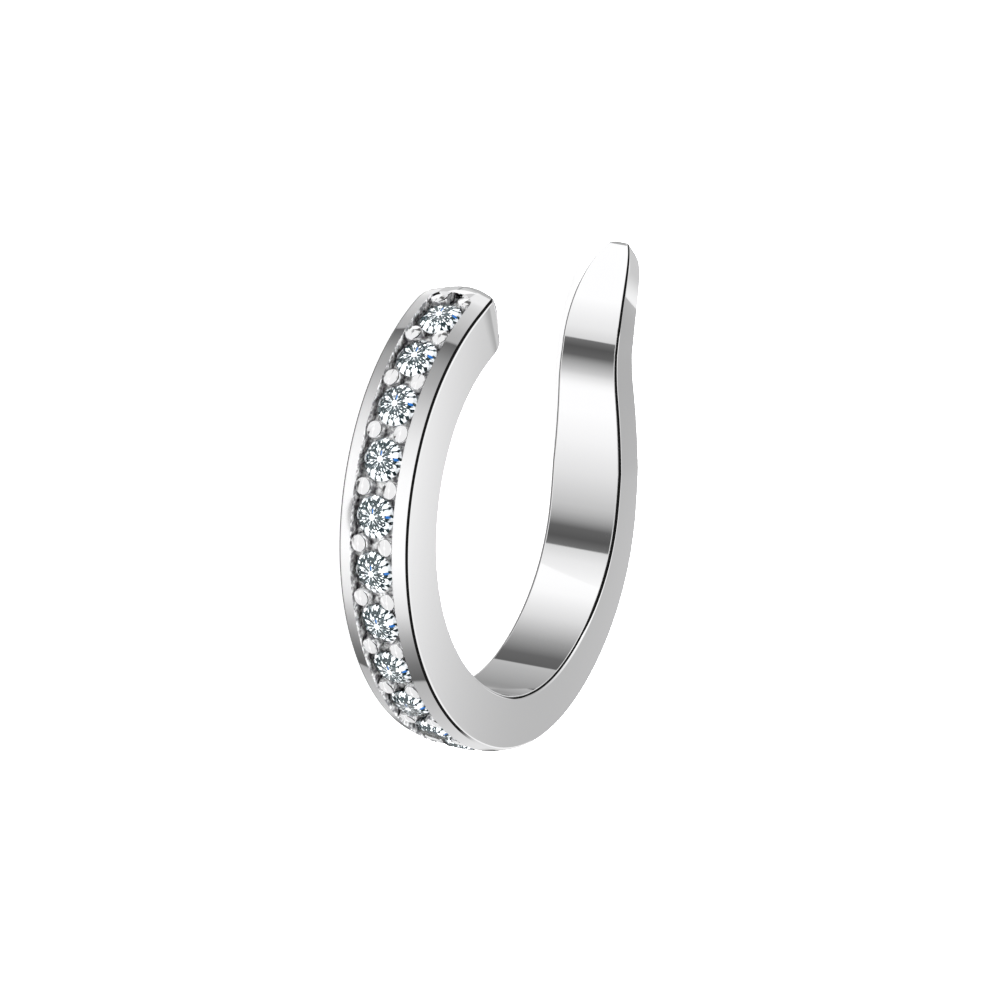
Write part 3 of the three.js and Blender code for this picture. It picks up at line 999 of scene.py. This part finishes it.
# %% [markdown]
# ## The clear stone
# Seen face on, most of a stone shows the wheel and a small part shows what is behind it. Seen
# edge on, the wheel gives way to the clear body, which is a glass with the bending of cubic
# zirconia and a greyer tint, because little light comes back that way.

# %% The clear stone
WHEEL_GLOSS, WHEEL_BENDING = 0.1, 1.6
ZIRCONIA_BENDING = 2.17
POLISH_SCALE, POLISH = 1500, (0.0, 0.006)
CLEAR_SHARE, CLEAR_SHARE_GRAZING = 0.15, 0.9
EDGE_ON = (0.45, 0.8)
EDGE_TINT = (0.3, 0.3, 0.29, 1)

shader.inputs["Roughness"].default_value = WHEEL_GLOSS
shader.inputs["IOR"].default_value = WHEEL_BENDING
clear = nodes.new("ShaderNodeBsdfGlass")
clear.inputs["IOR"].default_value = ZIRCONIA_BENDING
polish = add_noise(POLISH_SCALE)
links.new(remap(polish, *POLISH), clear.inputs["Roughness"])
share = nodes.new("ShaderNodeMixShader")
grazing = between(nodes.new("ShaderNodeLayerWeight").outputs["Facing"], *EDGE_ON)
links.new(mix(grazing, CLEAR_SHARE, CLEAR_SHARE_GRAZING), share.inputs["Fac"])
links.new(tint(grazing, (1, 1, 1, 1), EDGE_TINT), clear.inputs["Color"])
links.new(shader.outputs[0], share.inputs[1])
links.new(clear.outputs[0], share.inputs[2])
links.new(share.outputs[0], nodes["Material Output"].inputs["Surface"])
for stone in stones:
    stone.data.materials.clear()
    stone.data.materials.append(zirconia)
print("stones of", zirconia.name + ":", len(stones))

# %% [markdown]
# ## The light tent
# A mirror shows only what stands round it. Jewellery is shown inside a white tent with grey and
# black strips, which draw bands and crisp lines on the metal. Here the world is that tent.
# Halfway between the way to the camera and the way a reflected ray leaves stands the mirror's
# own normal, so the tent is painted by that halfway direction: its turn round the cuff's axis
# decides the tone of the rails, and its rise decides which strip an edge shows.

# %% Tones of the tent
RAILS = [
    # turn of the metal's normal in degrees, brightness
    (196, 0.85), (199, 0.74), (203.8, 0.62), (208.6, 0.53), (210.9, 0.46), (214.2, 0.42),
    (214.5, 0.12), (218, 0.21), (220.4, 0.29), (222.7, 0.35), (227.5, 0.41), (232.2, 0.53),
    (236.9, 0.67), (243.2, 0.84), (251, 0.98), (256, 1.0), (270.6, 1.0), (278.4, 0.86),
    (282.3, 0.75), (284.3, 0.63), (288.2, 0.43), (292.1, 0.28), (296, 0.18), (300.8, 0.11),
    (301.2, 0.45), (307.8, 0.5), (315.6, 0.58), (323.5, 0.67), (331.3, 0.75),
]
INSIDE = [
    (181, 0.3), (198.3, 0.46), (201.2, 0.5), (201.5, 0.11), (206.8, 0.13), (213.4, 0.34),
    (222.3, 0.72), (231, 0.97), (235, 1.0),
]
BEADS = [
    (200, 0.6), (203, 0.12), (208, 0.12), (210, 0.85), (218, 0.88), (285, 0.85), (300, 0.8),
]
TURN_LOW, TURN_HIGH = 175, 345
RAIL_LEAN = 3.3
FLANK_RISE = 0.27
SILVER_TONE = 0.93
print("tones round the tent for the rails, the inside and the beads:",
      len(RAILS), len(INSIDE), len(BEADS))

# %% [markdown]
# ## Laying the tones round the tent
# Each way out of the scene is turned into the halfway direction, and that into its turn and its
# rise. Then the tables above are laid round the tent: one for what lies level, one for the beads
# and one for the rails' slope.

# %% The tent's directions
BEADS_START, RAILS_START = (0.012, 0.016), (0.21, 0.23)

world = bpy.data.worlds.new("light_tent")
bpy.context.scene.world = world
world.use_nodes = True
nodes, links = world.node_tree.nodes, world.node_tree.links
nodes.clear()

where = nodes.new("ShaderNodeTexCoord").outputs["Generated"]
halfway = vector_maths("ADD", where, to_camera)
facing = maths("MULTIPLY", vector_maths("LENGTH", halfway), 0.5)
parts = nodes.new("ShaderNodeSeparateXYZ")
links.new(vector_maths("NORMALIZE", halfway), parts.inputs[0])
x, y, rise = parts.outputs
# the minus signs put the jump from 360 to 0 degrees on the side that the camera doesn't see
opposite = maths("ARCTAN2", maths("MULTIPLY", y, -1), maths("MULTIPLY", x, -1))
turn = maths("ADD", maths("MULTIPLY", opposite, 180 / math.pi), 180)
steepness = maths("ABSOLUTE", rise)
lean = maths("MULTIPLY", maths("SUBTRACT", rise, FLANK_RISE), RAIL_LEAN)

rails = gradient(maths("SUBTRACT", turn, lean), TURN_LOW, TURN_HIGH, RAILS)
inside = gradient(turn, TURN_LOW, TURN_HIGH, INSIDE)
beads_see = gradient(turn, TURN_LOW, TURN_HIGH, BEADS)
level = mix(between(steepness, *BEADS_START), inside, beads_see)
tent = mix(between(steepness, *RAILS_START), level, rails)
print("nodes that lay the tones round the tent:", len(nodes))

# %% [markdown]
# ## Painting the strips
# The strips are painted over those tones one by one. Each has the range over which it fades in,
# and a tone. The black strip is what draws the dark line along each edge. Rays from the camera
# see plain white paper, so the background stays clean.

# %% The tent's strips
BACK_TURN, BACK_TONE = (178, 172), 0.45
BLACK_TURNS, BLACK_RISES, BLACK_TONE = ((150, 165), (330, 320)), ((0.3, 0.34), (0.87, 0.84)), 0.01
TOP_RISE, TOP_TONE = (0.84, 0.87), 0.9
OVERHEAD_RISE, OVERHEAD_TONE = (0.985, 0.99), 0.7
NOSE_TURN, NOSE_RISE, NOSE_TONE = (150, 140), (0.2, 0.5), 0.58
UNDER_RISE, UNDER_TONE = (-0.28, -0.34), 0.2
GRAZING_FACING, GRAZING_TONE = (0.2, 0.1), 0.2
PAPER_WHITE = (1, 1, 1, 1)

black_round, black_up = [maths("MULTIPLY", between(value, *start), between(value, *end))
                         for value, (start, end) in ((turn, BLACK_TURNS), (rise, BLACK_RISES))]
nose = maths("MULTIPLY", between(turn, *NOSE_TURN), between(rise, *NOSE_RISE))
for share, strip_tone in (
    (between(turn, *BACK_TURN), BACK_TONE),
    (maths("MULTIPLY", black_up, black_round), BLACK_TONE),
    (between(rise, *TOP_RISE), TOP_TONE),
    (between(rise, *OVERHEAD_RISE), OVERHEAD_TONE),
    (nose, NOSE_TONE),
    (between(rise, *UNDER_RISE), UNDER_TONE),
    (between(facing, *GRAZING_FACING), GRAZING_TONE),
):
    tent = mix(share, tent, strip_tone)

background = nodes.new("ShaderNodeBackground")
links.new(maths("DIVIDE", tent, SILVER_TONE), background.inputs["Color"])
paper = nodes.new("ShaderNodeBackground")
paper.inputs["Color"].default_value = PAPER_WHITE
rays = nodes.new("ShaderNodeLightPath")
chosen = nodes.new("ShaderNodeMixShader")
links.new(rays.outputs["Is Camera Ray"], chosen.inputs["Fac"])
links.new(background.outputs[0], chosen.inputs[1])
links.new(paper.outputs[0], chosen.inputs[2])
output = nodes.new("ShaderNodeOutputWorld")
links.new(chosen.outputs[0], output.inputs["Surface"])
print("nodes of the whole tent:", len(nodes))

# %% [markdown]
# ## Three near cards
# The tent's wall is far away, so a flat face would show one single tone in it. Small cards
# close to the piece give such a face its change of tone. One hangs over the flat side, a shaded
# one stands where the inside of the bottom bend looks, and a white one where the tongue's inside
# looks. Only mirrors see them.

# %% A card
UNSEEN_BY = ("camera", "diffuse", "transmission", "volume_scatter", "shadow")


def add_card(name, centre, size, rotation):
    """A glowing card that only mirrors see. Returns its tone's input and its coordinates."""
    # the helpers for finishes add to these two, so they become the card's own
    global nodes, links
    bpy.ops.mesh.primitive_plane_add(size=1, rotation=rotation)
    card = bpy.context.object
    card.name = name
    bpy.ops.object.transform_apply(rotation=True)
    bpy.ops.transform.resize(value=size, center_override=(0, 0, 0))
    card.location = centre
    bpy.ops.object.transform_apply(location=True, scale=True)
    for kind in UNSEEN_BY:
        setattr(card, "visible_" + kind, False)
    material = bpy.data.materials.new(name)
    material.use_nodes = True
    card.data.materials.append(material)
    nodes, links = material.node_tree.nodes, material.node_tree.links
    nodes.clear()
    glow = nodes.new("ShaderNodeEmission")
    glow.inputs["Strength"].default_value = 1 / SILVER_TONE
    links.new(glow.outputs[0], nodes.new("ShaderNodeOutputMaterial").inputs["Surface"])
    split = nodes.new("ShaderNodeSeparateXYZ")
    links.new(nodes.new("ShaderNodeTexCoord").outputs["Object"], split.inputs[0])
    return glow.inputs["Color"], [maths("DIVIDE", axis, MM) for axis in split.outputs]


# %% [markdown]
# ## Placing the cards
# The side card hangs where the flat side's reflected rays reach its height, so its middle is
# found by following one ray. Its tone is a curved surface over x and y, measured from there. The
# inside card's tones are a table along X.

# %% Side, tip and inside cards
SIDE_CARD_HEIGHT = 6.0
SIDE_CARD_SIZE = 16.0
SIDE_MIDDLE_TONE = 0.484
SIDE_TWIST = 0.004
SIDE_TILT = -0.024
SIDE_CURVE = 0.0056
TIP_CARD_MIDDLE = (-12.0, 3.25, -4.25)
TIP_CARD_SIZE = (1, 9.5, 4.5)
INSIDE_CARD = [
    # along X in mm, brightness
    (-17.0, 1.0), (-9.0, 0.82), (-6.3, 0.68), (-6.1, 0.16), (-4.4, 0.09), (-2.6, 0.12), (-1.3, 0.32),
    (0.95, 0.58), (2.0, 0.76), (3.4, 0.92), (4.5, 1.0),
]
INSIDE_CARD_LOW, INSIDE_CARD_HIGH = -17.0, 9.8
INSIDE_CARD_BOTTOM, INSIDE_CARD_TOP = -12.3, -7.2
INSIDE_CARD_Y = -12.6

mirrored = Vector((-to_camera.x, -to_camera.y, to_camera.z)) / to_camera.z * SIDE_CARD_HEIGHT
card_middle = (Vector((0, 0, 2 * HALF_WIDTH / MM)) + mirrored) * MM
glow, (x, y, _) = add_card("side_card", card_middle, (SIDE_CARD_SIZE * MM,) * 3, (0, 0, 0))
print("side card's middle in mm:", [round(c / MM, 2) for c in card_middle])
x, y = maths("SUBTRACT", x, mirrored.x), maths("SUBTRACT", y, mirrored.y)
tilted = maths("MULTIPLY", maths("ADD", maths("MULTIPLY", x, SIDE_TWIST), SIDE_TILT), y)
curved = maths("MULTIPLY", maths("MULTIPLY", y, y), SIDE_CURVE)
links.new(maths("ADD", maths("ADD", tilted, curved), SIDE_MIDDLE_TONE), glow)

add_card("tip_card", Vector(TIP_CARD_MIDDLE) * MM, Vector(TIP_CARD_SIZE) * MM, (0, math.pi / 2, 0))

card_middle = Vector(((INSIDE_CARD_LOW + INSIDE_CARD_HIGH) / 2, INSIDE_CARD_Y,
                      (INSIDE_CARD_BOTTOM + INSIDE_CARD_TOP) / 2)) * MM
card_size = ((INSIDE_CARD_HIGH - INSIDE_CARD_LOW) * MM, 1,
             (INSIDE_CARD_TOP - INSIDE_CARD_BOTTOM) * MM)
glow, (x, _, _) = add_card("inside_card", card_middle, card_size, (math.pi / 2, 0, 0))
links.new(gradient(x, INSIDE_CARD_LOW, INSIDE_CARD_HIGH, INSIDE_CARD), glow)
print("inside card in mm:", [round(side / MM, 1) for side in (card_size[0], card_size[2])])

# %% [markdown]
# ## The table and its light
# The cuff lies on a white table that glows a little by itself, so its shadow stays faint. A wide
# soft lamp overhead lights it evenly. Mirrors and stones don't see the lamp, because what they
# show is settled by the tent.

# %% Floor and lamp
FLOOR_SIZE = 0.4
LAMP_SIZE = 0.3
LAMP_HEIGHT = 0.25
LAMP_POWER = 3.0
TABLE_GLOW = 0.75
TABLE_COLOUR = (0.9, 0.9, 0.9, 1)
TABLE_ROUGHNESS = 0.9

bpy.ops.mesh.primitive_plane_add(size=FLOOR_SIZE)
floor = bpy.context.object
floor.name = "floor"
floor.visible_glossy = False
paper_white, nodes, links, shader = new_material("floor_paper")
shader.inputs["Base Color"].default_value = TABLE_COLOUR
shader.inputs["Roughness"].default_value = TABLE_ROUGHNESS
shader.inputs["Emission Color"].default_value = PAPER_WHITE
shader.inputs["Emission Strength"].default_value = TABLE_GLOW
floor.data.materials.append(paper_white)

bpy.ops.object.light_add(type="AREA", location=(0, 0, LAMP_HEIGHT))
lamp = bpy.context.object
lamp.data.shape = "DISK"
lamp.data.size = LAMP_SIZE
lamp.data.energy = LAMP_POWER
lamp.visible_glossy = False
lamp.visible_transmission = False
print("table in m:", FLOOR_SIZE, "and its lamp in watts:", LAMP_POWER)
